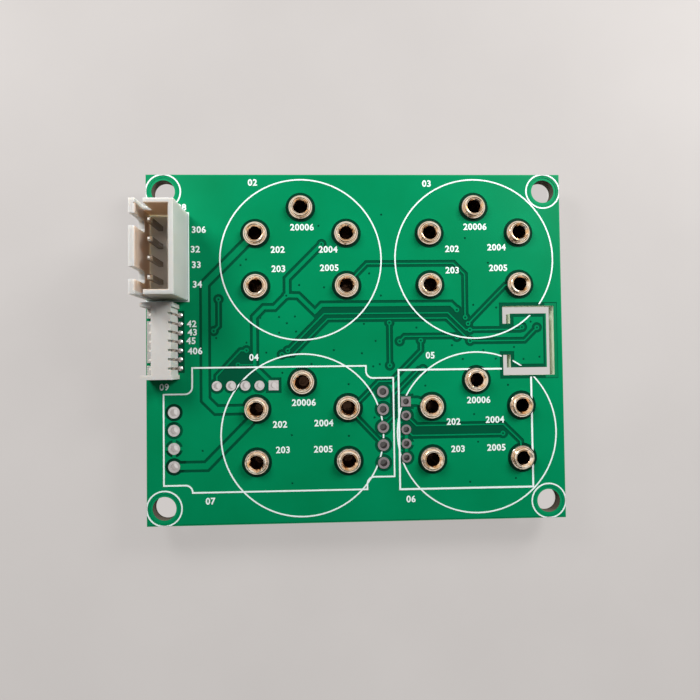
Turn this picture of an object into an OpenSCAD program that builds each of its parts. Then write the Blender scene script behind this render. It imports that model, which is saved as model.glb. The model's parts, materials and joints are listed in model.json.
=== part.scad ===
// Carrier board of an air quality sensor module: a two-layer board with four
// five-pin sensor positions of solder-in pin sockets, four rows of plated
// holes for two further modules, a shrouded four-way wire header, a
// right-angle seven-way wafer header and a routed isolation slot.
//
// Origin: centre of the mounting-hole pattern, on the board's underside.
// X runs along the board, Y across it, Z out of the component side.

/* [Board] */
// Length of the board along X
board_l = 59.6; // [58.5:0.1:90]
// Width of the board along Y
board_w = 49.7; // [49.2:0.1:80]
// Thickness of the laminate
board_t = 1.6; // [0.8:0.1:2.4]
// Thickness of the mask-covered copper on each side
copper_t = 0.05; // [0.03:0.01:0.1]
// Thickness of the legend ink
ink_t = 0.03; // [0.02:0.01:0.06]
// Bare border between the copper pour and the board's edge
pour_inset = 0.2; // [0.15:0.05:0.8]

/* [Mounting holes] */
// Diameter of the mounting holes
mount_d = 3.3; // [2.2:0.1:3.4]
// Distance from the short edges to the holes' centres
mount_inset_x = 2.45; // [2.3:0.05:3]
// Distance from the long edges to the holes' centres
mount_inset_y = 2.45; // [2.3:0.05:3]
// Diameter of the copper-free ring around each hole
mount_keepout_d = 4; // [3.8:0.1:7]
// Diameter of the legend ring around each hole
mount_ring_d = 4.9; // [4.2:0.1:6]

/* [Sensor positions] */
// Distance between sensor centres along X
sensor_pitch_x = 25; // [24:0.1:26]
// Distance between sensor centres along Y
sensor_pitch_y = 25; // [24:0.1:26]
// Centre of the four positions along X
sensors_x = 4.6; // [4:0.1:5]
// Centre of the four positions along Y
sensors_y = 0.1; // [-0.3:0.1:0.3]
// Diameter of the circle that a sensor's pins stand on
pin_circle_d = 15; // [14:0.1:16]
// Diameter of the legend circle, the sensor's own size
sensor_d = 23; // [20:0.1:23.4]

/* [Pin sockets] */
// Diameter of the flange that sits on the board
flange_d = 3.46; // [3.3:0.02:3.6]
// Thickness of the flange
flange_t = 0.25; // [0.15:0.05:0.5]
// Diameter of the head above the flange
head_d = 2.76; // [2.6:0.02:2.9]
// Height of the head above the flange
head_h = 0.6; // [0.5:0.05:1.5]
// Width of the groove round the head's foot
groove_w = 0.12; // [0.05:0.01:0.12]
// Depth of the groove round the head's foot
groove_depth = 0.08; // [0.04:0.01:0.1]
// Diameter of the mouth at the rim
mouth_d = 2.45; // [2.2:0.05:2.45]
// Depth of the mouth's cone
mouth_depth = 0.3; // [0.2:0.05:0.4]
// Diameter of the throat that a pin enters
throat_d = 1.84; // [1.6:0.02:1.9]
// Diameter of the shank in the board
shank_d = 2.5; // [2.4:0.02:2.6]
// Length of the tail below the board
tail_l = 2.4; // [2.2:0.1:4]
// Thickness of the closed end of the tail
tail_end_t = 0.5; // [0.3:0.05:1]
// Diameter of the pocket below the throat, which holds the contact clip
pocket_d = 2.2; // [2:0.02:2.3]
// Thickness of the clip's spring strip
clip_t = 0.18; // [0.1:0.01:0.2]
// Length of the clip's collar
collar_l = 0.8; // [0.5:0.1:1.5]
// Gap between the tips of opposite fingers
finger_gap = 1.48; // [0.8:0.02:1.6]
// Width of the slits between the clip's fingers
clip_slit = 0.15; // [0.1:0.05:0.5]

/* [Plated pin rows] */
// First hole of row a, the narrow row above sensor c, along X
row_a_x = -19.95; // [-20.05:0.05:-19.85]
// First hole of row a along Y
row_a_y = -5.3; // [-5.4:0.05:-5.2]
// First hole of row b, the wide row at the short edge, along X
row_b_x = -25.97; // [-26.07:0.05:-25.87]
// First hole of row b along Y
row_b_y = -8.95; // [-9.05:0.05:-8.85]
// First hole of row c, the wide row between the sensors, along X
row_c_x = 3.58; // [3.48:0.05:3.63]
// First hole of row c along Y
row_c_y = -6.4; // [-6.5:0.05:-6.3]
// First hole of row d, the narrow row beside row c, along X
row_d_x = 6.87; // [6.82:0.05:6.97]
// First hole of row d along Y
row_d_y = -7.87; // [-7.97:0.05:-7.77]
// Pitch of the two wide rows
row_pitch_wide = 2.54; // [2.4:0.02:2.6]
// Pitch of the two narrow rows
row_pitch_narrow = 2; // [1.9:0.02:2.1]
// Pad diameter in the wide rows
pad_d_wide = 1.65; // [1.4:0.05:1.8]
// Pad diameter in the narrow rows
pad_d_narrow = 1.4; // [1.2:0.05:1.5]
// Finished hole in the wide rows
hole_d_wide = 1.02; // [0.8:0.02:1.1]
// Finished hole in the narrow rows
hole_d_narrow = 0.86; // [0.7:0.02:0.9]
// Wall of the plating in each hole
plating_t = 0.06; // [0.03:0.01:0.1]
// Thickness of the tinned rings on the board's faces
ring_t = 0.08; // [0.06:0.01:0.12]

/* [Tracks] */
// Width of the signal tracks
signal_w = 0.2; // [0.15:0.01:0.25]
// Width of the branch tracks
branch_w = 0.5; // [0.4:0.01:0.55]
// Width of the supply tracks
supply_w = 0.85; // [0.6:0.01:0.9]
// Gap between a track or pad and the copper around it
track_gap = 0.4; // [0.2:0.01:0.42]
// Diameter of the small plated holes that join the layers
via_d = 0.3; // [0.2:0.05:0.4]
// Diameter of the copper ring around each of them
via_pad_d = 0.7; // [0.5:0.05:0.8]

/* [Isolation slot] */
// Width of the routed slot
slot_w = 1.1; // [0.8:0.05:1.2]
// Size of the slot's outline along X
slot_l = 7.5; // [6.5:0.1:7.6]
// Size of the slot's outline along Y
slot_h = 10; // [9:0.1:10.2]
// Gap between the slot and the copper around it
slot_gap = 0.5; // [0.3:0.05:0.6]

/* [Legend] */
// Width of the circles' line
circle_line = 0.2; // [0.1:0.05:0.3]
// Width of the wide module's outline
wide_line = 0.22; // [0.1:0.05:0.3]
// Width of the narrow module's outline
narrow_line = 0.26; // [0.2:0.02:0.4]
// Width of the wire header's outline
header_line = 0.15; // [0.1:0.05:0.3]
// Gap between ink and bare pads
ink_gap = 0.15; // [0.1:0.05:0.3]
// Gap between the wire header and its outline
header_ink_gap = 0.03; // [0.02:0.01:0.2]

/* [Wire header] */
// Number of posts
header_n = 4; // [2:1:4]
// Pitch of the posts
header_pitch = 2.5; // [2.4:0.02:2.6]
// Outer posts to the ends of the housing
header_end = 2.45; // [2:0.05:2.6]
// Depth of the housing along X
header_depth = 5.7; // [5.4:0.05:6.2]
// Height of the housing
header_h = 7; // [5:0.1:9]
// Thickness of the back wall, towards the sensors
header_back_t = 0.75; // [0.5:0.05:1]
// Thickness of the keyed front wall, along the board's edge
header_front_t = 0.8; // [0.5:0.05:1]
// Thickness of the end walls
header_side_t = 0.6; // [0.5:0.05:1]
// Thickness of the floor
header_floor_t = 1; // [0.8:0.05:1.5]
// Post row to the outer face of the front wall
header_row = 2.25; // [2.2:0.05:2.6]
// Side of the square posts
post_w = 0.64; // [0.5:0.02:0.7]
// Height of the posts above the board
post_h = 6; // [4:0.1:8]
// Length of the posts below the board
post_tail = 1.9; // [1.5:0.1:2.1]
// Width of each key slot in the front wall
key_slot_w = 1.65; // [1:0.05:2]
// Distance of the key slots inward of the outer posts
key_slot_in = 0.3; // [0:0.05:1]
// Height of the wall left under the key slots, above the floor
key_sill_h = 2.15; // [1:0.05:2.6]
// Radius of the key slots' lower corners
key_slot_r = 0.55; // [0.2:0.05:0.9]
// Width of the notch in each end wall
end_notch_w = 1.05; // [0.6:0.05:1.4]
// Height of the wall left under the end notches, above the floor
end_sill_h = 2.55; // [1:0.05:2.6]
// Distance from the long edge of the board to the housing
header_margin = 5.6; // [5.2:0.05:6]
// Distance from the short edge of the board to the housing
header_edge = 0.2; // [0:0.05:0.4]

/* [Wafer header] */
// Number of contacts
wafer_n = 7; // [3:1:7]
// Pitch of the contacts
wafer_pitch = 1.25; // [1.2:0.01:1.3]
// Outer contacts to the ends of the housing
wafer_end = 1.5; // [1.3:0.05:1.6]
// Height of the housing
wafer_h = 3.4; // [3:0.05:4]
// Depth of the end cheeks along X
wafer_depth = 4.35; // [4.2:0.05:4.8]
// How far the roof stays back from the cheeks' front
roof_setback = 1.5; // [1:0.05:1.8]
// Thickness of the roof
roof_t = 0.6; // [0.4:0.05:0.8]
// Thickness of the housing's floor
wafer_floor_t = 0.5; // [0.3:0.05:0.7]
// Thickness of the cheeks
cheek_t = 0.6; // [0.4:0.05:0.8]
// Thickness of the rear wall
wafer_rear_t = 0.95; // [0.8:0.05:1.3]
// How far the rear wall stays in from the cheeks' rear
rear_recess = 0.2; // [0.1:0.05:0.3]
// Depth of the comb slots in the rear wall
comb_depth = 0.4; // [0.35:0.05:0.6]
// Thickness of the stamped contacts
contact_t = 0.3; // [0.2:0.02:0.4]
// Height of the contacts' blades
blade_h = 0.4; // [0.3:0.05:0.5]
// How far the blades' tips stay back from the cheeks' front
blade_setback = 0.65; // [0.4:0.05:1.3]
// Length of the contacts' feet behind the housing
foot_l = 0.65; // [0.5:0.05:1]
// Thickness of the contacts' feet
foot_t = 0.2; // [0.15:0.01:0.25]
// Width of the solder on each foot
land_w = 0.7; // [0.5:0.02:0.7]
// Width of the polarising notches in the housing's floor
notch_w = 0.4; // [0.3:0.05:0.6]
// Gap between the two headers
header_gap = 0.6; // [0.4:0.05:1]
// Distance from the board's edge to the cheeks' front
wafer_edge = 0.3; // [0:0.05:0.4]

/* [Hidden] */
$fn = 48;
// Overcut of every subtracted solid
cut = 1;
// Clearance of a stamped contact in its slot, on each side
contact_fit = 0.02;
// Clearance between the clip and the shoulder over it
clip_drop = 0.15;

SENSORS = ["a", "b", "c", "d"];
// Angles of a sensor's pins, the single pin first, then left to right
PIN_ANGLES = [90, 150, 30, 210, 330];

NODES = concat(
    ["circuit_board", "front_copper", "rear_copper", "legend"],
    [for (s = SENSORS, i = [1:5]) str("socket_", s, i)],
    [for (s = SENSORS) str("contact_clips_", s)],
    [for (s = SENSORS) str("socket_solder_", s)],
    ["pin_row_a", "pin_row_b", "pin_row_c", "pin_row_d"],
    ["header_housing"],
    [for (i = [1:header_n]) str("header_post_", i)],
    ["header_solder", "wafer_housing"],
    [for (i = [1:wafer_n]) str("wafer_contact_", i)],
    ["wafer_solder"]);
node = "all";

// Heights
top = board_t;
copper_top = top + copper_t;
bottom = -copper_t;

// ---- layout ---------------------------------------------------------------

MOUNTS = [for (sx = [-1, 1], sy = [-1, 1])
    [sx * (board_l / 2 - mount_inset_x), sy * (board_w / 2 - mount_inset_y)]];

function sensor(s) = [sensors_x + (s % 2 - 0.5) * sensor_pitch_x,
                      sensors_y + (s < 2 ? 0.5 : -0.5) * sensor_pitch_y];
function socket(s, i) =
    sensor(s) + pin_circle_d / 2 * [cos(PIN_ANGLES[i]), sin(PIN_ANGLES[i])];
SOCKETS = [for (s = [0:3], i = [0:4]) socket(s, i)];

// Pin rows: first hole, step, count, pad, hole, index of the square pad
ROWS = [
    [[row_a_x, row_a_y], [row_pitch_narrow, 0], 5, pad_d_narrow, hole_d_narrow, 4],
    [[row_b_x, row_b_y], [0, -row_pitch_wide], 4, pad_d_wide, hole_d_wide, -1],
    [[row_c_x, row_c_y], [0, -row_pitch_wide], 5, pad_d_wide, hole_d_wide, -1],
    [[row_d_x, row_d_y], [0, -row_pitch_narrow], 5, pad_d_narrow, hole_d_narrow, 0]];
function pad(r, i) = ROWS[r][0] + i * ROWS[r][1];

// Wire header: front face just inside the board's edge
header_l = (header_n - 1) * header_pitch + 2 * header_end;
header_x = -board_l / 2 + header_edge;
header_y = board_w / 2 - header_margin - header_l / 2;
POSTS = [for (i = [0:header_n - 1])
    [header_x + header_row, header_y + ((header_n - 1) / 2 - i) * header_pitch]];
post_pad_d = post_w * sqrt(2) + 0.9;

// Wafer header: in line with the wire header, below it
wafer_l = (wafer_n - 1) * wafer_pitch + 2 * wafer_end;
wafer_x = -board_l / 2 + wafer_edge;
comb_rear = wafer_x + wafer_depth - rear_recess;
blade_z = wafer_h / 2 - blade_h;
wafer_y = header_y - header_l / 2 - header_gap - wafer_l / 2;
CONTACTS = [for (i = [0:wafer_n - 1])
    wafer_y + ((wafer_n - 1) / 2 - i) * wafer_pitch];

// Isolation slot: a C open to the left, round the two far track ends
slot_x = 21.1;
slot_y = -4.3;
slot_hook_top = 2.55;
slot_hook_bottom = 2.95;
SLOT = let (h = slot_w / 2, r = slot_x + slot_l - h, t = slot_y + slot_h - h)
    [[slot_x + h, slot_y + slot_h - slot_hook_top], [slot_x + h, t], [r, t],
     [r, slot_y + h], [slot_x + h, slot_y + h],
     [slot_x + h, slot_y + slot_hook_bottom]];

// Tracks: width, a ring at the start and at the end, points
TRACKS = [
    // supply: from sensor a to sensor c, from there to row b, row d to sensor d
    [supply_w, 0, 0, [socket(0, 1), [-21.55, 9.15], [-21.55, -7.2],
        [-20.05, -8.7], socket(2, 1)]],
    [supply_w, 0, 0, [socket(2, 1), [-15.3, -10.4],
        [-15.3, -10.4] + (pad(1, 3).y + 10.4) * [1, 1], pad(1, 3)]],
    [supply_w, 0, 0, [pad(3, 0), [8.5, pad(3, 0).y], socket(3, 1)]],
    // branches: row a to the centre, and the long run to the right
    [branch_w, 0, 1, [pad(0, 4), [-12.6, -4.7], [-14.6, -2.7], [-14.6, 4.4],
        [-13.25, 5.75], [-11.75, 5.75], [-10.05, 7.45]]],
    [branch_w, 1, 1, [[-10.05, 7.45], [-9.9, 7.6], [-9.9, 9.85], [-4.95, 14.8]]],
    [branch_w, 1, 1, [[-10.05, 7.45], [-8.35, 7.4], [-6.0, 5.05], [-5.0, 6.05],
        [13.6, 6.05], [14.45, 5.2]]],
    // signals: the bus to the isolated area
    [signal_w, 1, 1, [[-9.9, -0.4], [-4.7, 4.8], [13.15, 4.8], [15.65, 2.3],
        [16.3, 2.3]]],
    [signal_w, 1, 1, [[16.3, 2.3], [23.6, 2.3], [23.92, 2.62]]],
    [signal_w, 1, 1, [[-10.75, -0.95], [-9.2, -0.95], [-4.2, 4.05],
        [12.95, 4.05], [16.3, 0.7]]],
    [signal_w, 1, 1, [[16.3, 0.7], [24.25, 0.7], [26.1, 2.55]]],
    // signals: sensors a and b to the centre
    [signal_w, 0, 1, [socket(0, 4), [0.25, 10.7], [1.5, 11.95],
        [14.05, 11.95], [15.65, 10.35], [15.65, 4.1]]],
    [signal_w, 0, 1, [socket(1, 4), [21.6, 8.75], [16.05, 3.2]]],
    // signals: short links between layers
    [signal_w, 1, 1, [[-19.65, 7], [-19.65, 3.2], [-20.35, 2.5]]],
    [signal_w, 1, 1, [[4.65, 3.45], [4.65, -2.7]]],
    [signal_w, 1, 1, [[6.1, 0.75], [6.8, 1.45], [14.25, 1.45], [14.4, 1.3]]],
    [signal_w, 1, 0, [[-16.95, -2.35], [-14.6, -2.35]]],
    // signals: row a, row c and row d
    [signal_w, 0, 1, [pad(0, 0), pad(0, 0) + [0, 1.4], [-16.6, -0.35],
        [-15.75, -0.3]]],
    [signal_w, 1, 0, [[9.15, 0.85], [9.15, -0.6], [4.8, -4.95], [3, -4.95],
        [0.1, -7.85], socket(2, 2)]],
    [signal_w, 0, 0, [socket(2, 2), [0.1, -10.3], pad(2, 3)]],
    [signal_w, 1, 0, [[9.4, -3.3], [8.8, -3.3], [5.12, -6.98], [5.12, -9.95],
        pad(2, 2)]],
    [signal_w, 0, 0, [pad(3, 1), [8.35, -11.35], [20.95, -11.35],
        [23.4, -13.8], socket(3, 4)]],
    [signal_w, 0, 1, [pad(3, 2), [7.75, -12.75], [20.75, -12.75],
        [20.85, -12.65]]]];

// Places with no copper between tracks that run close together
VOIDS = [
    [[-19.9, -5.3], [-19.9, -3.9], [-16.4, -0.4], [-14.9, -0.4],
     [-14.9, -2.7], [-12.3, -5.3]],
    [[13, 5.5], [15.4, 5.5], [15.9, 2.7], [15.2, 2.7], [13, 4.9]],
    [[-5, 5.5], [-5, 5.2], [13.4, 5.2], [13.4, 5.5]],
    [[7.9, -12.4], [7.9, -11.7], [21.1, -11.7], [21.1, -12.4]],
    [[comb_rear - 1.2, CONTACTS[wafer_n - 1] - 0.65],
     [comb_rear - 1.2, CONTACTS[0] + 0.65],
     [comb_rear + foot_l + 0.25, CONTACTS[0] + 0.65],
     [comb_rear + foot_l + 0.25, CONTACTS[wafer_n - 1] - 0.65]]];

// Small plated holes that tie the two copper pours together
VIAS = [
    [-15.7, 12.65], [-16.5, 11.85], [-20, 1.5], [-15.75, 0.8], [-13.75, 4.3],
    [-12.95, -0.65], [-11.1, 4.4], [-8.85, 4.45], [-10, 3.5], [-11.1, 2.15],
    [-8.7, 2.3], [-10.7, -3.55], [-5.35, 17.45], [-8.2, 8.95], [-4.65, 8.6],
    [1.85, 10.55], [3.7, 19.05], [3.5, 7.35], [1, 3.3], [2.65, 0.85],
    [0.65, -0.9], [-3.35, -0.4], [-6.55, -2.35], [2.25, -2.8], [3.2, -2.5],
    [-1.3, -5.3], [8.55, 2.7], [15.8, 15.6], [19.1, 12], [16.85, 5.9],
    [20.2, 5.5], [13.65, 0.1], [15.2, -1.9], [18.2, -0.65], [20, -1.9],
    [22.7, -0.25], [24.05, -2], [26.4, -1.7], [25.2, 3.4], [21.7, -5.7],
    [9.7, -5.65], [16.7, -9.85], [17.2, -13.8], [-22, -14.4], [-9.45, -12.4],
    [-1.35, -12.65], [-9.45, -19.2], [2.35, -10.1], [15.95, -19.5],
    [22.6, -19.1]];

// Pads joined to the pour by four spokes: row, index
SPOKED = [[1, 2], [3, 3]];

// ---- shared shapes --------------------------------------------------------

function unit(v) = v / norm(v);
function left(v) = [-v.y, v.x];
function heading(p, i) = unit(p[i + 1] - p[i]);
// Sideways step at point i that keeps a band of half-width h parallel
function mitre(p, i, h) =
    let (a = left(heading(p, max(i - 1, 0))),
         b = left(heading(p, min(i, len(p) - 2))),
         n = unit(a + b))
    n * h / (n * a);
// Moves both ends of a path outwards by e
function stretched(p, e) = let (n = len(p) - 1)
    [for (i = [0:n]) i == 0 ? p[0] - e * heading(p, 0)
                   : i == n ? p[n] + e * heading(p, n - 1) : p[i]];
function band(p, w) = let (n = len(p) - 1) concat(
    [for (i = [0:n]) p[i] + mitre(p, i, w / 2)],
    [for (i = [n:-1:0]) p[i] - mitre(p, i, w / 2)]);

module at(points) { for (p = points) translate(p) children(); }
module slab(z, t) { translate([0, 0, z]) linear_extrude(t) children(); }
module board_outline() { square([board_l, board_w], center = true); }
module slot_outline(gap = 0) {
    polygon(band(stretched(SLOT, gap), slot_w + 2 * gap));
}
module ring(d, line) {
    difference() { circle(d = d + line); circle(d = d - line); }
}
// Pad i of row r, grown by gap; a square pad is marked in ROWS
module pad_shape(r, i, gap = 0) {
    d = ROWS[r][3] + 2 * gap;
    translate(pad(r, i))
        if (i == ROWS[r][5]) square(d, center = true); else circle(d = d);
}
module all_pads(gap = 0) {
    for (r = [0:3], i = [0:ROWS[r][2] - 1]) pad_shape(r, i, gap);
}
module drilled_holes() {
    at(MOUNTS) circle(d = mount_d);
    at(SOCKETS) circle(d = shank_d + 0.1);
    at(POSTS) circle(d = post_w * sqrt(2) + 0.1);
    for (r = [0:3], i = [0:ROWS[r][2] - 1])
        translate(pad(r, i)) circle(d = ROWS[r][4] + 2 * plating_t);
}

// ---- board ----------------------------------------------------------------

module circuit_board() {
    color([0, 0.3, 0.18]) slab(0, top) difference() {
        board_outline();
        slot_outline();
        drilled_holes();
    }
}

// What both pours keep clear of
module pour_limits() {
    slot_outline(slot_gap);
    at(MOUNTS) circle(d = mount_keepout_d);
    at(SOCKETS) circle(d = flange_d + 2 * track_gap);
    all_pads(track_gap);
}

module spokes(r, i) {
    translate(pad(r, i)) for (turn = [0, 90]) rotate(turn)
        square([ROWS[r][3] + 2.4 * track_gap, 1.2 * track_gap], center = true);
}

module front_copper() {
    color([0.04, 0.57, 0.38]) slab(top, copper_t) difference() {
        union() {
            difference() {
                offset_board(pour_inset);
                pour_limits();
                for (t = TRACKS) {
                    polygon(band(t[3], t[0] + 2 * track_gap));
                    track_rings(t, via_pad_d + 2 * track_gap);
                }
                for (v = VOIDS) polygon(v);
            }
            for (t = TRACKS) {
                polygon(band(t[3], t[0]));
                track_rings(t, via_pad_d);
            }
            at(SOCKETS) circle(d = flange_d);
            for (s = SPOKED) spokes(s[0], s[1]);
        }
        all_pads();
        drilled_holes();
        at(VIAS) circle(d = via_d);
        for (t = TRACKS) track_rings(t, via_d);
    }
}
module offset_board(inset) {
    square([board_l - 2 * inset, board_w - 2 * inset], center = true);
}
module track_rings(t, d) {
    if (t[1] == 1) translate(t[3][0]) circle(d = d);
    if (t[2] == 1) translate(t[3][len(t[3]) - 1]) circle(d = d);
}

module rear_copper() {
    color([0.04, 0.57, 0.38]) slab(bottom, copper_t) difference() {
        union() {
            difference() {
                offset_board(pour_inset);
                pour_limits();
                at(POSTS) circle(d = post_pad_d + 2 * track_gap);
            }
            at(SOCKETS) circle(d = flange_d);
            at(POSTS) circle(d = post_pad_d);
        }
        all_pads();
        drilled_holes();
        at(VIAS) circle(d = via_d);
        for (t = TRACKS) track_rings(t, via_d);
    }
}

// ---- legend ---------------------------------------------------------------

// Outline of the wide module, notched where its corners are rounded inwards
wide_x = [-27.4, -23.4, 1.2, 5.1];
wide_y = [-20.25, -19.2, -18.5, -6.4, -4.45, -2.7];
wide_r = 1;
function quarter(c, from, turn) =
    [for (k = [0:6]) c + wide_r * [cos(from + turn * k / 6),
                                   sin(from + turn * k / 6)]];
WIDE = concat(
    [[wide_x[1], wide_y[5]], [wide_x[2], wide_y[5]]],
    quarter([wide_x[2] + wide_r, wide_y[4] + wide_r], 180, 90),
    [[wide_x[3], wide_y[4]], [wide_x[3], wide_y[2]]],
    quarter([wide_x[2] + wide_r, wide_y[2] - wide_r], 90, 90),
    [[wide_x[2], wide_y[0]], [wide_x[1], wide_y[0]]],
    quarter([wide_x[1] - wide_r, wide_y[1] - wide_r], 0, 90),
    [[wide_x[0], wide_y[1]], [wide_x[0], wide_y[3]]],
    quarter([wide_x[1] - wide_r, wide_y[3] + wide_r], 270, 90));
function inset_loop(p, h) = let (n = len(p))
    [for (i = [0:n - 1])
        let (a = left(unit(p[i] - p[(i + n - 1) % n])),
             b = left(unit(p[(i + 1) % n] - p[i])), m = unit(a + b))
        p[i] + m * h / (m * a)];
module outline(loop, line) {
    difference() {
        polygon(inset_loop(loop, line / 2));
        polygon(inset_loop(loop, -line / 2));
    }
}

// Outline of the narrow module
NARROW = [[5.87, -3.35], [25.1, -3.35], [25.1, -20.35], [5.87, -20.35]];

module legend() {
    color([0.93, 0.98, 0.97]) slab(copper_top, ink_t) intersection() {
        difference() {
            union() {
                for (s = [0:3]) translate(sensor(s)) ring(sensor_d, circle_line);
                at(MOUNTS) ring(mount_ring_d, circle_line);
                outline(WIDE, wide_line);
                outline(NARROW, narrow_line);
                header_shadow(header_ink_gap + header_line);
            }
            slot_outline(slot_gap / 2);
            all_pads(ink_gap);
            at(SOCKETS) circle(d = flange_d + 2 * ink_gap);
            at(MOUNTS) circle(d = mount_d + 2 * ink_gap);
            header_shadow(header_ink_gap);
            wafer_shadow(header_ink_gap);
        }
        offset_board(ink_gap / 3);
    }
}
module header_shadow(gap) {
    translate([header_x - gap, header_y - header_l / 2 - gap])
        square([header_depth + 2 * gap, header_l + 2 * gap]);
}
module wafer_shadow(gap) {
    translate([wafer_x - gap, wafer_y - wafer_l / 2 - gap])
        square([wafer_depth + 2 * gap, wafer_l + 2 * gap]);
}

// ---- pin sockets ----------------------------------------------------------

flange_top = copper_top + flange_t;
head_top = flange_top + head_h;
throat_top = head_top - mouth_depth;
// The mouth is countersunk, then leads in at a flatter angle
lead_top = head_top - mouth_depth * 0.4;
lead_d = (mouth_d + throat_d) / 2;
rim_edge = 0.05;
pocket_top = copper_top + 0.02;
pocket_end = -tail_l + tail_end_t;

module pin_socket(s, i) {
    color([0.86, 0.7, 0.42]) translate(socket(s, i)) rotate_extrude() polygon([
        [0, -tail_l], [shank_d / 2 - 0.2, -tail_l],
        [shank_d / 2, -tail_l + 0.2], [shank_d / 2, copper_top],
        [flange_d / 2, copper_top], [flange_d / 2, flange_top - rim_edge],
        [flange_d / 2 - rim_edge, flange_top],
        [head_d / 2 + groove_w, flange_top],
        [head_d / 2 + groove_w / 3, flange_top - groove_depth],
        [head_d / 2, flange_top - groove_depth],
        [head_d / 2, head_top - rim_edge],
        [head_d / 2 - rim_edge, head_top], [mouth_d / 2, head_top],
        [lead_d / 2 + rim_edge, lead_top], [lead_d / 2, lead_top],
        [throat_d / 2, throat_top], [throat_d / 2, pocket_top],
        [pocket_d / 2, pocket_top], [pocket_d / 2, pocket_end], [0, pocket_end]]);
}

module contact_clips(s) {
    color([0.8, 0.62, 0.35]) for (i = [0:4]) translate(socket(s, i)) clip();
}
// Spring clip: a collar in the pocket with four fingers that close in below it
module clip() {
    r = pocket_d / 2;
    tip = finger_gap / 2;
    collar_top = pocket_top - clip_drop;
    collar_end = collar_top - collar_l;
    difference() {
        rotate_extrude() polygon([
            [r - clip_t, collar_top], [r, collar_top], [r, collar_end],
            [tip + clip_t, pocket_end], [tip, pocket_end], [r - clip_t, collar_end]]);
        for (turn = [45, 135]) rotate(turn)
            translate([-pocket_d, -clip_slit / 2, pocket_end - cut])
                cube([2 * pocket_d, clip_slit, collar_end - pocket_end + cut]);
    }
}

// Fillets between the tails and their lands on the rear side
module socket_solder(s) {
    foot = flange_d / 2;
    neck = shank_d / 2;
    color([0.7, 0.71, 0.72]) for (i = [0:4]) translate(socket(s, i))
        rotate_extrude() polygon([[neck, bottom], [foot, bottom],
            [foot, bottom - 0.08], [(foot + neck) / 2 + 0.05, bottom - 0.22],
            [neck + 0.1, bottom - 0.8], [neck, bottom - 0.8]]);
}

// ---- plated pin rows ------------------------------------------------------

// Tinned barrel with a ring on each face of the board
module pin_row(r) {
    for (i = [0:ROWS[r][2] - 1]) color([0.78, 0.78, 0.76]) difference() {
        union() {
            for (z = [-ring_t, top]) slab(z, ring_t) pad_shape(r, i);
            translate(pad(r, i)) cylinder(d = ROWS[r][4] + 2 * plating_t, h = top);
        }
        translate([pad(r, i).x, pad(r, i).y, -ring_t - cut])
            cylinder(d = ROWS[r][4], h = top + 2 * (ring_t + cut));
    }
}

// ---- wire header ----------------------------------------------------------

module header_housing() {
    floor_top = copper_top + header_floor_t;
    cavity_x = header_depth - header_front_t - header_back_t;
    cavity_y = header_l - 2 * header_side_t;
    above = header_h - header_floor_t + cut;
    key_y = header_l / 2 - header_end - key_slot_in;
    color([0.93, 0.9, 0.86]) translate([header_x, header_y, 0]) difference() {
        translate([0, -header_l / 2, copper_top])
            cube([header_depth, header_l, header_h]);
        translate([header_front_t, -cavity_y / 2, floor_top])
            cube([cavity_x, cavity_y, above]);
        for (side = [-1, 1]) {
            translate([-cut, side * key_y, floor_top + key_sill_h])
                rotate([90, 0, 90]) linear_extrude(header_front_t + 2 * cut)
                    key_slot(above);
            translate([header_front_t, side * header_l / 2 - header_side_t - cut / 2,
                       floor_top + end_sill_h])
                cube([end_notch_w, 2 * header_side_t + cut, above]);
            // lead-in along the two long walls
            translate([side > 0 ? header_depth - header_back_t : header_front_t,
                       0, copper_top + header_h])
                rotate([90, 45, 0]) cube([0.3, 0.3, cavity_y], center = true);
        }
        for (p = POSTS)
            translate([p.x - header_x - post_w / 2, p.y - header_y - post_w / 2, 0])
                cube([post_w, post_w, header_h]);
        // hollow under the floor, between the feet at the ends
        translate([header_back_t, -cavity_y / 2, copper_top - cut])
            cube([header_depth - 2 * header_back_t, cavity_y, cut + 0.3]);
    }
}

// Slot open at the top, with rounded lower corners
module key_slot(h) {
    half = key_slot_w / 2;
    translate([-half, key_slot_r]) square([key_slot_w, h]);
    translate([key_slot_r - half, 0]) square([key_slot_w - 2 * key_slot_r, h]);
    for (side = [-1, 1])
        translate([side * (half - key_slot_r), key_slot_r]) circle(r = key_slot_r);
}

// Square post, tapered at both ends
module header_post(p) {
    length = post_tail + copper_top + post_h;
    taper = post_w * 0.3;
    module side() {
        polygon([[-post_w / 2 + taper, 0], [post_w / 2 - taper, 0],
            [post_w / 2, 2 * taper], [post_w / 2, length - 2 * taper],
            [post_w / 2 - taper, length], [-post_w / 2 + taper, length],
            [-post_w / 2, length - 2 * taper], [-post_w / 2, 2 * taper]]);
    }
    color([0.82, 0.8, 0.76]) translate([p.x, p.y, -post_tail])
        intersection_for(turn = [0, 90]) rotate([90, 0, turn])
            linear_extrude(2 * post_w, center = true) side();
}

module header_solder() {
    color([0.7, 0.71, 0.72]) for (p = POSTS) translate(p) difference() {
        slab(bottom - 0.75, 0.75) circle(d = post_pad_d);
        translate([-post_w / 2, -post_w / 2, -post_tail - cut])
            cube([post_w, post_w, 2 * (post_tail + cut)]);
        // the fillet's slope
        translate([0, 0, bottom]) rotate_extrude() polygon([
            [post_pad_d / 2 + cut, -0.1 + cut], [post_pad_d / 2 + cut, -cut],
            [post_w * 0.75, -cut], [post_w * 0.75, -0.75],
            [post_pad_d / 2, -0.1], [post_pad_d / 2 + 0.01, -0.1 + cut]]);
    }
}

// ---- wafer header ---------------------------------------------------------

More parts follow.
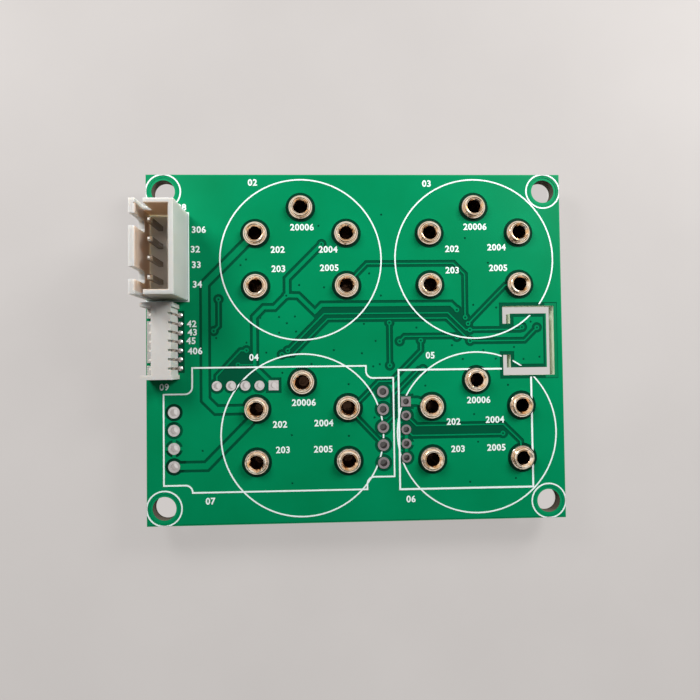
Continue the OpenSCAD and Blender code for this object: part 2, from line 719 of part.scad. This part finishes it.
module wafer_housing() {
    half = wafer_l / 2;
    inner = half - cheek_t;
    comb_x = wafer_depth - rear_recess;
    rear_x = comb_x - wafer_rear_t;
    slot = contact_t + 2 * contact_fit;
    color([0.86, 0.84, 0.82]) translate([wafer_x, wafer_y, copper_top]) difference() {
        translate([0, -half, 0]) cube([wafer_depth, wafer_l, wafer_h]);
        // the rear wall stays in from the cheeks
        translate([comb_x, -inner, -cut])
            cube([rear_recess + cut, 2 * inner, wafer_h + 2 * cut]);
        // mouth
        translate([-cut, -inner, wafer_floor_t])
            cube([rear_x + cut, 2 * inner, wafer_h - wafer_floor_t - roof_t]);
        // the roof stays back from the cheeks
        translate([-cut, -inner, wafer_floor_t])
            cube([roof_setback + cut, 2 * inner, wafer_h]);
        // polarising notches in the floor
        for (side = [-1, 1])
            translate([-cut, side * 2.5 * wafer_pitch - notch_w / 2, -cut])
                cube([roof_setback + 2 * cut, notch_w, wafer_floor_t + 2 * cut]);
        // comb of contact slots, open to the rear, each with its passage forward
        for (y = CONTACTS)
            translate([0, y - wafer_y - slot / 2, 0]) {
                translate([rear_x - cut, 0, blade_z - contact_fit])
                    cube([wafer_rear_t + 2 * cut, slot, blade_h + 2 * contact_fit]);
                translate([comb_x - comb_depth, 0, -cut])
                    cube([comb_depth + cut, slot, wafer_h + 2 * cut]);
            }
    }
}

// Contact: blade in the mouth, drop behind the comb, foot on its land
module contact_strip(y) {
    tip = wafer_x + blade_setback;
    drop = comb_rear - contact_t;
    z = copper_top;
    blade_top = z + blade_z + blade_h;
    translate([0, y + contact_t / 2, 0]) rotate([90, 0, 0])
        linear_extrude(contact_t) polygon([
            [tip, z + blade_z + 0.12], [tip, blade_top - 0.12],
            [tip + 0.35, blade_top], [drop, blade_top],
            [comb_rear, blade_top - 0.3], [comb_rear, z + foot_t + 0.1],
            [comb_rear + 0.1, z + foot_t], [comb_rear + foot_l, z + foot_t],
            [comb_rear + foot_l, z], [drop + 0.2, z], [drop, z + 0.2],
            [drop, z + blade_z - 0.05], [drop - 0.05, z + blade_z],
            [tip + 0.35, z + blade_z]]);
}
module wafer_contact(y) { color([0.8, 0.78, 0.72]) contact_strip(y); }

// Solder that wets the contacts' feet, domed over each foot's end
module wafer_solder() {
    r = land_w / 2;
    color([0.75, 0.76, 0.77]) for (y = CONTACTS) difference() {
        translate([comb_rear + foot_l - r * 0.8, y, copper_top]) intersection() {
            cylinder(r = r, h = land_w);
            translate([0, 0, -r / 2]) sphere(r = r * 1.4);
        }
        contact_strip(y);
    }
}

// ---- output ---------------------------------------------------------------

function wanted(name) = node == "all" || node == name;

if (wanted("circuit_board")) circuit_board();
if (wanted("front_copper")) front_copper();
if (wanted("rear_copper")) rear_copper();
if (wanted("legend")) legend();
for (s = [0:3], i = [0:4])
    if (wanted(str("socket_", SENSORS[s], i + 1))) pin_socket(s, i);
for (s = [0:3]) if (wanted(str("contact_clips_", SENSORS[s]))) contact_clips(s);
for (s = [0:3]) if (wanted(str("socket_solder_", SENSORS[s]))) socket_solder(s);
for (r = [0:3]) if (wanted(str("pin_row_", SENSORS[r]))) pin_row(r);
if (wanted("header_housing")) header_housing();
for (i = [0:header_n - 1])
    if (wanted(str("header_post_", i + 1))) header_post(POSTS[i]);
if (wanted("header_solder")) header_solder();
if (wanted("wafer_housing")) wafer_housing();
for (i = [0:wafer_n - 1])
    if (wanted(str("wafer_contact_", i + 1))) wafer_contact(CONTACTS[i]);
if (wanted("wafer_solder")) wafer_solder();
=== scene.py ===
"""Carrier board of an air quality sensor module, dressed piece by piece on its CAD frame."""

import json
import math

import bpy
from mathutils import Matrix, Vector


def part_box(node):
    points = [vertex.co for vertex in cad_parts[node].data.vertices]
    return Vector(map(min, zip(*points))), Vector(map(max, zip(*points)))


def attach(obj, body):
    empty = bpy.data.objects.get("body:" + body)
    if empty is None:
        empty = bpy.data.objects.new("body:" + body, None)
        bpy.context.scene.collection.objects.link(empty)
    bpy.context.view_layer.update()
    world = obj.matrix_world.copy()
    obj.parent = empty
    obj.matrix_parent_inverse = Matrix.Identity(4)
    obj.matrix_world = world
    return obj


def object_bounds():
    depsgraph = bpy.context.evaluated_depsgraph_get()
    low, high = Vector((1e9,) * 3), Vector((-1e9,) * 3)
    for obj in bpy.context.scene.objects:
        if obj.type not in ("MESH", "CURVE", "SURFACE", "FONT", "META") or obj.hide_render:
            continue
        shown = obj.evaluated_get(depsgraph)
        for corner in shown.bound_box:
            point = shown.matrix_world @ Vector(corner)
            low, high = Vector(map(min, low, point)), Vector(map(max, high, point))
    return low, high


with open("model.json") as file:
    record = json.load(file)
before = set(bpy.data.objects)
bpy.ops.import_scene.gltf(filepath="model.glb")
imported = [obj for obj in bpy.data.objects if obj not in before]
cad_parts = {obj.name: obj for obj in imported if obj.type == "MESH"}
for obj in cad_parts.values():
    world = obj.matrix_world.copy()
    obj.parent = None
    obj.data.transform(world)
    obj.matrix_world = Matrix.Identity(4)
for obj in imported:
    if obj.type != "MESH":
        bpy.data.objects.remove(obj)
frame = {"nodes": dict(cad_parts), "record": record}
cad_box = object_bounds()
cad = frame["nodes"]

# ---------------------------------------------------------------- camera ----
# A phone held level above the board, a hand's width away: a wide lens, so
# that tall pieces at the edge lean outwards.
MM = 0.001
IMAGE = 700
FOCAL = 514.16
CENTRE = (345.14, 354.13)
lens = bpy.data.cameras.new("phone_lens")
lens.sensor_width = 36
lens.lens = FOCAL * 36 / IMAGE
lens.shift_x = (IMAGE / 2 - CENTRE[0]) / IMAGE
lens.shift_y = (CENTRE[1] - IMAGE / 2) / IMAGE
lens.clip_start = 0.005
phone = bpy.data.objects.new("phone", lens)
bpy.context.scene.collection.objects.link(phone)
turn = Matrix((
    (0.99929477, 0.0116974, -0.03568098),
    (-0.01248829, 0.99967945, -0.02202363),
    (0.03541192, 0.02245369, 0.99912053)))
phone.matrix_world = (
    Matrix.Translation(Vector((-4.363, -2.609, 75.025)) * MM) @ turn.to_4x4())
bpy.context.scene.camera = phone

# ----------------------------------------------------------- bare laminate --
# The board is woven glass cloth in epoxy, cut and routed to shape. Under the
# mask its faces are dark green; cut edges show the straw-coloured resin.


def linear(code):
    """An sRGB hex colour as linear red, green, blue and alpha."""
    parts = [int(code[i:i + 2], 16) / 255 for i in (1, 3, 5)]
    return [c / 12.92 if c <= 0.04045 else ((c + 0.055) / 1.055) ** 2.4
            for c in parts] + [1]


def add(tree, kind, inputs=None, **settings):
    """A shader node; an input takes a value, a node or one of its outputs."""
    made = tree.nodes.new("ShaderNode" + kind)
    for name, value in settings.items():
        setattr(made, name, value)
    for name, value in (inputs or {}).items():
        if isinstance(value, bpy.types.Node):
            value = value.outputs[0]
        if isinstance(value, bpy.types.NodeSocket):
            tree.links.new(value, made.inputs[name])
        else:
            made.inputs[name].default_value = value
    return made


def blank(name):
    """A new material, its cleared tree and the place that its patterns read."""
    material = bpy.data.materials.new(name)
    material.use_nodes = True
    tree = material.node_tree
    tree.nodes.clear()
    return material, tree, add(tree, "TexCoord").outputs["Object"]


def cells(size):
    """Cells to the metre of a pattern whose grain has a size in millimetres."""
    return 1 / (size * MM)


def mottled(tree, place, size, detail, dark, light, span=(0.0, 1.0)):
    """Two tones that drift into each other over a size in millimetres, and
    the drift itself, for what else follows it."""
    drift = add(tree, "TexNoise", {
        "Vector": place, "Scale": cells(size), "Detail": detail}).outputs["Fac"]
    tone = add(tree, "ValToRGB", {"Fac": drift})
    for stop, code, position in zip(tone.color_ramp.elements, (dark, light), span):
        stop.color = linear(code)
        stop.position = position
    return tone.outputs[0], drift


def to_socket(tree, place):
    """How far a point is from the nearest pin socket's axis. The sensors
    repeat, so the five sockets of the first one stand for all twenty."""
    axes = [sum(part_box("socket_a%d" % n), Vector()) / 2 for n in range(1, 6)]
    half_pitch = (sum(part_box("socket_d1"), Vector()) / 2 - axes[0]) / 2
    middle = Vector((axes[0].x, (axes[0].y + axes[3].y) / 2, 0))
    reach = Vector((abs(half_pitch.x), abs(half_pitch.y), 1))
    folded = add(tree, "VectorMath", {0: place, 1: middle + reach, 2: middle - reach},
                 operation="WRAP")
    nearest = None
    for axis in axes:
        away = add(tree, "VectorMath", {0: folded, 1: axis}, operation="SUBTRACT")
        flat = add(tree, "VectorMath", {0: away, 1: (1, 1, 0)}, operation="MULTIPLY")
        radius = add(tree, "VectorMath", {0: flat}, operation="LENGTH").outputs["Value"]
        if nearest:
            radius = add(tree, "Math", {0: nearest, 1: radius},
                         operation="MINIMUM").outputs[0]
        nearest = radius
    return nearest


# FR-4: masked faces are smooth and half glossy, the milled edge is matt and
# shows the cloth's layers, 0.2 mm each
SKIN = 0.02 * MM
RIM = Vector((0.4, 0.4, 0)) * MM
SLOT_MIDDLE = Vector((25.5, 0.7, 0)) * MM
SLOT_REACH = Vector((5, 5.4, 0)) * MM
SLOT_RIGHT = 27.3 * MM
fr4, tree, place = blank("fr4_laminate")
low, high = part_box("circuit_board")
height = add(tree, "SeparateXYZ", {"Vector": place}).outputs["Z"]
top = add(tree, "Math", {0: height, 1: high.z - SKIN}, operation="GREATER_THAN")
bottom = add(tree, "Math", {0: height, 1: low.z + SKIN}, operation="LESS_THAN")
masked = add(tree, "Math", {0: top, 1: bottom}, operation="ADD")
layers = add(tree, "Mapping", {"Vector": place, "Scale": (0.12, 0.12, 1)})
resin, _ = mottled(tree, layers, 0.2, 3.0, "#c3ccb3", "#e2ead6", (0.3, 0.7))
mask, _ = mottled(tree, place, 6.67, 4.0, "#00462f", "#00583a")

# the corner holes' walls are painted dark brown as shade
holes = frame["record"]["mounts"][0]["dims"]
hole = Vector((holes["spacing_x_mm"], holes["spacing_y_mm"], 0)) / 2 * MM
mirrored = add(tree, "VectorMath", {0: place}, operation="ABSOLUTE")
away = add(tree, "VectorMath", {0: mirrored, 1: hole}, operation="SUBTRACT")
flat = add(tree, "VectorMath", {0: away, 1: (1, 1, 0)}, operation="MULTIPLY")
to_hole = add(tree, "VectorMath", {0: flat}, operation="LENGTH").outputs["Value"]
in_corner_hole = add(tree, "Math", {0: to_hole, 1: (holes["hole_r_mm"] + 0.05) * MM},
              operation="LESS_THAN")
wall = add(tree, "Mix", {0: in_corner_hole, 6: resin, 7: linear("#5d554b")}, data_type="RGBA")

# light from below shines through the rim, round the corner holes and through
# the slot's right land, where no copper lies behind the mask
past_rim = add(tree, "VectorMath", {0: mirrored, 1: high - RIM}, operation="SUBTRACT")
past_rim = add(tree, "SeparateXYZ", {"Vector": past_rim})
past_rim = add(tree, "Math", {0: past_rim.outputs["X"], 1: past_rim.outputs["Y"]},
               operation="MAXIMUM")
rim = add(tree, "Math", {0: past_rim, 1: 0.0}, operation="GREATER_THAN")
hole_edge = add(tree, "Math", {0: to_hole, 1: (holes["hole_r_mm"] + 0.5) * MM},
                operation="LESS_THAN")
away = add(tree, "VectorMath", {0: place, 1: SLOT_MIDDLE}, operation="SUBTRACT")
away = add(tree, "VectorMath", {0: away}, operation="ABSOLUTE")
away = add(tree, "SeparateXYZ", {"Vector": away})
within_x = add(tree, "Math", {0: away.outputs["X"], 1: SLOT_REACH.x},
               operation="LESS_THAN")
within_y = add(tree, "Math", {0: away.outputs["Y"], 1: SLOT_REACH.y},
               operation="LESS_THAN")
at_slot = add(tree, "Math", {0: within_x, 1: within_y}, operation="MULTIPLY")
right = add(tree, "SeparateXYZ", {"Vector": place}).outputs["X"]
right = add(tree, "Math", {0: right, 1: SLOT_RIGHT}, operation="GREATER_THAN")
land = add(tree, "Math", {0: at_slot, 1: right}, operation="MULTIPLY")
land = add(tree, "Math", {0: land, 1: 0.6}, operation="MULTIPLY")
lit = add(tree, "Math", {0: land, 1: rim}, operation="MAXIMUM")
lit = add(tree, "Math", {0: lit, 1: hole_edge}, operation="MAXIMUM")
mask = add(tree, "Mix", {0: lit, 6: mask, 7: linear("#0a8f5c")}, data_type="RGBA")

# painted shade on the mask round each socket's flange
socket_shade = add(tree, "MapRange", {"Value": to_socket(tree, place), "From Min": 1.95 * MM,
                              "From Max": 2.25 * MM, "To Min": 0.75, "To Max": 0.0})
mask = add(tree, "Mix", {0: socket_shade, 6: mask.outputs[2], 7: linear("#00251a")},
           data_type="RGBA")

# the small holes away from the rim, the corners and the slot are plated; their walls are
# painted dark as the shade down these narrow holes
core = add(tree, "Math", {0: past_rim, 1: -0.5 * MM}, operation="LESS_THAN")
barrel_shade = add(tree, "Math", {0: core, 1: at_slot}, operation="SUBTRACT", use_clamp=True)
barrel_shade = add(tree, "Math", {0: barrel_shade, 1: in_corner_hole}, operation="SUBTRACT", use_clamp=True)
wall = add(tree, "Mix", {0: barrel_shade, 6: wall.outputs[2], 7: linear("#22301f")},
           data_type="RGBA")
skin = add(tree, "Mix", {0: masked, 6: wall.outputs[2], 7: mask.outputs[2]},
           data_type="RGBA")
rough = add(tree, "MapRange", {"Value": masked, "To Min": 0.75, "To Max": 0.32})
shader = add(tree, "BsdfPrincipled", {
    "Base Color": skin.outputs[2], "Roughness": rough, "IOR": 1.5,
    "Specular IOR Level": 0.05})
add(tree, "OutputMaterial", {"Surface": shader})
cad["circuit_board"].material_slots[0].material = fr4

# ---------------------------------------------------- copper under the mask --
# The pour and the tracks are etched copper, brushed before the green mask is
# printed over it, so the green is lighter here and slightly cloudy.
green, tree, place = blank("solder_mask_on_copper")
tone, _ = mottled(tree, place, 11.1, 5.0, "#00804f", "#008b5a", (0.3, 0.7))
grain = add(tree, "TexNoise", {"Vector": place, "Scale": cells(0.4), "Detail": 2.0})
bump = add(tree, "Bump", {"Height": grain, "Distance": 0.01 * MM, "Strength": 0.25})
shader = add(tree, "BsdfPrincipled", {
    "Base Color": tone, "Roughness": 0.34, "IOR": 1.5, "Specular IOR Level": 0.05,
    "Normal": bump})
add(tree, "OutputMaterial", {"Surface": shader})
for name in ("front_copper", "rear_copper"):
    cad[name].material_slots[0].material = green

# ------------------------------------------------------------------ legend --
# Screen-printed epoxy ink, matt and slightly specked: circles and outlines
# are in the frame, and plain numbers mark the positions and the wires.
ink, tree, place = blank("legend_ink")
tone, _ = mottled(tree, place, 0.556, 3.0, "#dcf6f0", "#ffffff")
shader = add(tree, "BsdfPrincipled", {"Base Color": tone, "Roughness": 0.6, "IOR": 1.5})
add(tree, "OutputMaterial", {"Surface": shader})
cad["legend"].material_slots[0].material = ink

FIGURE_SIZE = 1.28
NUMBERS = {
    # the four sensors and the two soldered modules
    "02": [(-14.7, 23.65)], "03": [(10.35, 23.5)], "04": [(-14.7, -1.35)],
    "05": [(10.5, -1.35)], "07": [(-20.95, -21.5)], "06": [(7.4, -21.8)],
    # each sensor's sockets
    "20006": [(-7.7, 17.2), (17.3, 17.2), (-7.7, -7.85), (17.4, -7.85)],
    "202": [(-11.2, 14.0), (13.9, 14.0), (-11.1, -10.9), (13.7, -10.9)],
    "203": [(-11.1, 11.25), (13.9, 10.9), (-10.7, -14.5), (14.3, -14.8)],
    "2004": [(-4.0, 14.0), (20.4, 14.2), (-4.9, -10.8), (19.7, -10.7)],
    "2005": [(-3.85, 11.35), (20.6, 11.2), (-5.0, -14.5), (19.85, -14.7)],
    # the headers and their wires
    "08": [(-24.75, 20.1)], "306": [(-22.35, 16.9)], "32": [(-22.85, 14.1)],
    "33": [(-22.7, 11.9)], "34": [(-22.6, 9.1)], "09": [(-27.3, -5.4)],
    "42": [(-23.4, 3.5)], "43": [(-23.3, 2.3)], "45": [(-23.5, 1.1)],
    "406": [(-22.95, -0.35)],
}
ink_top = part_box("legend")[1].z
marks = []
for figure, spots in NUMBERS.items():
    for x, y in spots:
        bpy.ops.object.select_all(action="DESELECT")
        bpy.ops.object.text_add(location=(x * MM, y * MM, ink_top - 0.012 * MM))
        letters = bpy.context.object.data
        letters.body = figure
        letters.size = FIGURE_SIZE * MM
        letters.space_character = 1.08
        letters.align_x = "CENTER"
        letters.align_y = "CENTER"
        letters.extrude = 0.01 * MM
        letters.offset = 0.035 * MM
        letters.resolution_u = 3
        bpy.ops.object.convert(target="MESH")
        marks.append(bpy.context.object)
bpy.ops.object.select_all(action="DESELECT")
for made in marks:
    made.select_set(True)
bpy.context.view_layer.objects.active = marks[0]
bpy.ops.object.join()
bpy.ops.object.transform_apply()
numbers = bpy.context.object
numbers.name = "printed_numbers"
numbers.data.materials.clear()
numbers.data.materials.append(ink)
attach(numbers, "root")

# ------------------------------------------------------------- pin sockets --
# Turned brass sleeves, nickelled and flashed with gold, which has worn in
# patches. Light catches the flange and the head's edge.
POCKET_R = 1.12 * MM
MOUTH_R = 1.2 * MM
HEAD_R = 1.4 * MM
FOOT_R = 1.5 * MM
LIP_R = 1.63 * MM
gold, tree, place = blank("gold_flash_on_brass")
radius = to_socket(tree, place)
height = add(tree, "SeparateXYZ", {"Vector": place}).outputs["Z"]
tone, worn = mottled(tree, place, 1.11, 4.0, "#e2b582", "#fff1dd", (0.38, 0.62))

# the gold is thin on the flange, where the nickel shows through; the paler tone there is
# also a painted reflection of the bright room
flange = add(tree, "MapRange", {"Value": radius, "From Min": MOUTH_R,
                                "From Max": HEAD_R, "To Max": 0.7})
plate_with_painted_light = add(tree, "Mix", {0: flange, 6: tone, 7: linear("#fbf0e0")}, data_type="RGBA")

# painted shade in the corner between the head and the flange, and on the flange's outer lip
foot = add(tree, "Math", {0: radius, 1: FOOT_R, 2: 0.045 * MM}, operation="COMPARE")
below_rim = add(tree, "Math", {0: height, 1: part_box("socket_a1")[1].z - 0.12 * MM},
                operation="LESS_THAN")
lip = add(tree, "Math", {0: radius, 1: LIP_R}, operation="GREATER_THAN")
flange_shade = add(tree, "Math", {0: foot, 1: below_rim}, operation="MULTIPLY")
flange_shade = add(tree, "Math", {0: flange_shade, 1: lip}, operation="MAXIMUM")
flange_shade = add(tree, "Math", {0: flange_shade, 1: 0.7}, operation="MULTIPLY")
plate_with_painted_light = add(tree, "Mix", {0: flange_shade, 6: plate_with_painted_light.outputs[2], 7: linear("#4a3423")},
            data_type="RGBA")

# painted shade on the pocket's wall, from just above the copper down to the tail's closed
# end
narrow = add(tree, "Math", {0: radius, 1: POCKET_R}, operation="LESS_THAN")
deep = add(tree, "Math", {0: height, 1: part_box("front_copper")[1].z + 0.2 * MM},
           operation="LESS_THAN")
above_tail = add(tree, "Math", {0: height, 1: -2.2 * MM}, operation="GREATER_THAN")
pocket = add(tree, "Math", {0: narrow, 1: deep}, operation="MULTIPLY")
pocket = add(tree, "Math", {0: pocket, 1: above_tail}, operation="MULTIPLY")
plate_with_painted_light = add(tree, "Mix", {0: pocket, 6: plate_with_painted_light.outputs[2], 7: linear("#34241a")},
            data_type="RGBA")

# turning marks: rings 0.2 mm apart, coarser than a real feed so that they
# show, and dents 0.5 mm wide from handling
rings = add(tree, "Math", {0: radius, 1: 2 * math.pi * cells(0.2)}, operation="MULTIPLY")
turned = add(tree, "Math", {0: rings}, operation="SINE")
bump = add(tree, "Bump", {"Height": turned, "Distance": 0.003 * MM, "Strength": 0.5})
dents = add(tree, "TexNoise", {"Vector": place, "Scale": cells(0.455), "Detail": 1.0})
bump = add(tree, "Bump", {"Height": dents, "Distance": 0.05 * MM, "Strength": 0.9,
                          "Normal": bump})
rough = add(tree, "MapRange", {"Value": worn, "To Min": 0.06, "To Max": 0.15})
shader = add(tree, "BsdfPrincipled", {
    "Base Color": plate_with_painted_light.outputs[2], "Metallic": 1.0, "Roughness": rough, "Normal": bump})
add(tree, "OutputMaterial", {"Surface": shader})
for name, piece in cad.items():
    if name.startswith("socket_") and not name.startswith("socket_solder"):
        piece.material_slots[0].material = gold

# ------------------------------------------------------------ contact clips --
# Stamped and rolled beryllium copper, pressed into each sleeve: four springy fingers, a matt
# brown painted darker as the shade down in the pocket.
spring, tree, place = blank("beryllium_copper")
tone, _ = mottled(tree, place, 0.833, 3.0, "#3a2316", "#684228")
shader = add(tree, "BsdfPrincipled", {
    "Base Color": tone, "Metallic": 1.0, "Roughness": 0.38})
add(tree, "OutputMaterial", {"Surface": shader})
for name, piece in cad.items():
    if name.startswith("contact_clips"):
        piece.material_slots[0].material = spring

# ------------------------------------------------------------------ solder --
# Tin-silver solder, wetted and cooled: fillets under the board, domes on the wafer header's
# feet and hot-air levelled rings on the pin rows, of which the two between the sensors are
# darker.
TINS = {
    # name: dark and light tone, the pieces that it covers
    "tin_solder": ("#b9b4b2", "#e6e2e0", (
        "socket_solder", "header_solder", "wafer_solder", "pin_row_a", "pin_row_b")),
    "darker_tin_solder": ("#8a8284", "#aca4a6", ("pin_row_c", "pin_row_d")),
}
for finish, (dark, light, covers) in TINS.items():
    tin, tree, place = blank(finish)
    tone, frost = mottled(tree, place, 0.455, 3.0, dark, light)
    bump = add(tree, "Bump", {"Height": frost, "Distance": 0.03 * MM, "Strength": 0.6})
    shader = add(tree, "BsdfPrincipled", {
        "Base Color": tone, "Metallic": 1.0, "Roughness": 0.34, "Normal": bump})
    add(tree, "OutputMaterial", {"Surface": shader})
    for name, piece in cad.items():
        if name.startswith(covers):
            piece.material_slots[0].material = tin

# ------------------------------------------------------------- wire header --
# Shrouded four-way header: natural nylon 66, moulded with a satin surface,
# and drawn square posts with tin plating.
WALLS = Vector((0.7, 0.5, 0)) * MM
nylon, tree, place = blank("natural_nylon")
tone, _ = mottled(tree, place, 4.55, 3.0, "#b8b8b6", "#c4c3c0")

# light that reaches the bottom of the shroud has gone through the walls
low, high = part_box("header_housing")
middle, half = (low + high) / 2, (high - low) / 2
beside = add(tree, "VectorMath", {0: place, 1: middle}, operation="SUBTRACT")
beside = add(tree, "VectorMath", {0: beside}, operation="ABSOLUTE")
beside = add(tree, "VectorMath", {0: beside, 1: half - WALLS}, operation="SUBTRACT")
beside = add(tree, "SeparateXYZ", {"Vector": beside})
beside = add(tree, "Math", {0: beside.outputs["X"], 1: beside.outputs["Y"]},
             operation="MAXIMUM")
inside = add(tree, "Math", {0: beside, 1: 0.0}, operation="LESS_THAN")
height = add(tree, "SeparateXYZ", {"Vector": place}).outputs["Z"]
depth = add(tree, "MapRange", {"Value": height, "From Min": low.z + 1.8 * MM,
                               "From Max": low.z + 1.1 * MM})
warm = add(tree, "Mix", {0: depth, 6: linear("#b9a898"), 7: linear("#f6ece0")},
           data_type="RGBA")
body = add(tree, "Mix", {0: inside, 6: tone, 7: warm.outputs[2]}, data_type="RGBA")
fine = add(tree, "TexNoise", {"Vector": place, "Scale": cells(0.167), "Detail": 2.0})
bump = add(tree, "Bump", {"Height": fine, "Distance": 0.01 * MM, "Strength": 0.3})
shader = add(tree, "BsdfPrincipled", {
    "Base Color": body.outputs[2], "Roughness": 0.42, "IOR": 1.53, "Normal": bump,
    "Subsurface Weight": 0.7, "Subsurface Radius": (1.0, 0.85, 0.7),
    "Subsurface Scale": 2.0 * MM})
add(tree, "OutputMaterial", {"Surface": shader})
cad["header_housing"].material_slots[0].material = nylon

# the die leaves fine lines along the wire; the posts' shafts down in the shroud and the
# contacts in the wafer's comb are painted dark as shade, the tips and the blades keep the
# bright tin
plated, tree, place = blank("tin_plated_wire")
lines = add(tree, "Mapping", {"Vector": place, "Scale": (1, 1, 0.0555)})
tone, drawn = mottled(tree, lines, 0.111, 2.0, "#c9c4ba", "#efebe2")
low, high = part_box("header_post_1")
along = add(tree, "SeparateXYZ", {"Vector": place})
shaft = add(tree, "MapRange", {
    "Value": along.outputs["Z"], "From Min": high.z - 0.5 * MM,
    "From Max": high.z - 0.8 * MM})
shrouded = add(tree, "Math", {0: along.outputs["X"], 1: low.x - 0.1 * MM},
               operation="GREATER_THAN")
shaft_shade = add(tree, "Math", {0: shaft, 1: shrouded}, operation="MULTIPLY")
body = add(tree, "Mix", {0: shaft_shade, 6: tone, 7: linear("#8d8379")}, data_type="RGBA")
rough = add(tree, "MapRange", {"Value": drawn, "To Min": 0.15, "To Max": 0.35})
shader = add(tree, "BsdfPrincipled", {
    "Base Color": body.outputs[2], "Metallic": 1.0, "Roughness": rough})
add(tree, "OutputMaterial", {"Surface": shader})
for name, piece in cad.items():
    if name.startswith(("header_post", "wafer_contact")):
        piece.material_slots[0].material = plated

# ------------------------------------------------------------ wafer header --
# Right-angle seven-way wafer in heat-resistant nylon, greyer than the wire
# header, with a matt moulded roof.
wafer, tree, place = blank("glass_filled_nylon")
tone, _ = mottled(tree, place, 3.85, 4.0, "#c4c1bc", "#cfccc7")
fine = add(tree, "TexNoise", {"Vector": place, "Scale": cells(0.2), "Detail": 2.0})
bump = add(tree, "Bump", {"Height": fine, "Distance": 0.012 * MM, "Strength": 0.35})
shader = add(tree, "BsdfPrincipled", {
    "Base Color": tone, "Roughness": 0.5, "IOR": 1.53, "Normal": bump,
    "Subsurface Weight": 0.3, "Subsurface Radius": (1.0, 0.7, 0.5),
    "Subsurface Scale": 1.0 * MM})
add(tree, "OutputMaterial", {"Surface": shader})
cad["wafer_housing"].material_slots[0].material = wafer

# ---------------------------------------------------------- floor and light --
# A pale sheet under the board, two small windows above its far corners and a
# soft room all round.
FLOOR_SIDE = 1.2
SHADE_MIDDLE = Vector((6, -9, 0)) * MM
SHADE_CORE = 11 * MM
SHADE_END = 17 * MM


def seen(tree):
    """1 for rays that show a surface itself: straight, mirrored or through glass."""
    rays = add(tree, "LightPath")
    straight = add(tree, "Math", {0: rays.outputs["Is Camera Ray"],
                                  1: rays.outputs["Is Glossy Ray"]}, operation="MAXIMUM")
    return add(tree, "Math", {0: straight, 1: rays.outputs["Is Transmission Ray"]},
               operation="MAXIMUM")


bpy.ops.object.select_all(action="DESELECT")
bpy.ops.mesh.primitive_plane_add(size=FLOOR_SIDE, location=(0, 0, cad_box[0][2]))
floor = bpy.context.object
floor.name = "floor"
paper, tree, place = blank("pale_paper")
tone, _ = mottled(tree, place, 25, 5.0, "#c9c4c1", "#d4cfcc")
sheet = add(tree, "BsdfPrincipled", {"Base Color": tone, "Roughness": 0.8})
glow = add(tree, "Emission", {"Color": tone, "Strength": 1.0})

# the shade under the board deepens towards its middle
to_middle = add(tree, "VectorMath", {0: place, 1: SHADE_MIDDLE},
                operation="DISTANCE").outputs["Value"]
shade = add(tree, "MapRange", {"Value": to_middle, "From Min": SHADE_CORE,
                               "From Max": SHADE_END, "To Min": 0.12, "To Max": 1.0})
past = add(tree, "VectorMath", {0: place}, operation="ABSOLUTE")
past = add(tree, "VectorMath", {0: past, 1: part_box("circuit_board")[1]},
           operation="SUBTRACT")
past = add(tree, "SeparateXYZ", {"Vector": past})
past = add(tree, "Math", {0: past.outputs["X"], 1: past.outputs["Y"]},
           operation="MAXIMUM")
under = add(tree, "Math", {0: past, 1: 0.0}, operation="LESS_THAN")
share = add(tree, "Mix", {0: under, 2: 0.75, 3: shade})
share = add(tree, "Math", {0: seen(tree), 1: share}, operation="MULTIPLY")
both = add(tree, "MixShader", {"Fac": share, 1: sheet, 2: glow})
add(tree, "OutputMaterial", {"Surface": both})
floor.data.materials.append(paper)

LAMPS = {
    # name: place (metres), side of the square, watts
    "left_window": ((-0.085, 0.085, 0.075), 0.05, 0.14),
    "right_window": ((0.1, 0.08, 0.075), 0.05, 0.23),
}
for name, (spot, side, watts) in LAMPS.items():
    light = bpy.data.lights.new(name, "AREA")
    light.size = side
    light.energy = watts
    lamp = bpy.data.objects.new(name, light)
    bpy.context.scene.collection.objects.link(lamp)
    lamp.location = spot
    lamp.rotation_euler = lamp.location.to_track_quat("Z", "Y").to_euler()
    lamp.visible_camera = False

# the room: pale walls beyond the board's far edge, dimmer behind the camera
# and overhead, which leaves the mask its full green
room = bpy.data.worlds.new("room")
room.use_nodes = True
tree = room.node_tree
tree.nodes.clear()
way = add(tree, "SeparateXYZ", {"Vector": add(tree, "TexCoord").outputs["Generated"]})
far = add(tree, "MapRange", {"Value": way.outputs["Y"], "From Min": -0.6, "From Max": 0.8,
                             "To Min": 0.06, "To Max": 0.45})
overhead = add(tree, "MapRange", {"Value": way.outputs["Z"], "From Min": 0.6,
                                  "From Max": 0.97, "To Min": 1.0, "To Max": 0.2})
level = add(tree, "Math", {0: far, 1: overhead}, operation="MULTIPLY")
bright = add(tree, "MapRange", {"Value": way.outputs["Y"], "From Min": -0.45,
                                "From Max": -0.02, "To Min": 0.08, "To Max": 1.0})
strength = add(tree, "Mix", {0: seen(tree), 2: level, 3: bright})
walls = add(tree, "Background", {"Color": linear("#fffdfc"), "Strength": strength})
add(tree, "OutputWorld", {"Surface": walls})
bpy.context.scene.world = room
bpy.context.scene.view_settings.view_transform = "Standard"
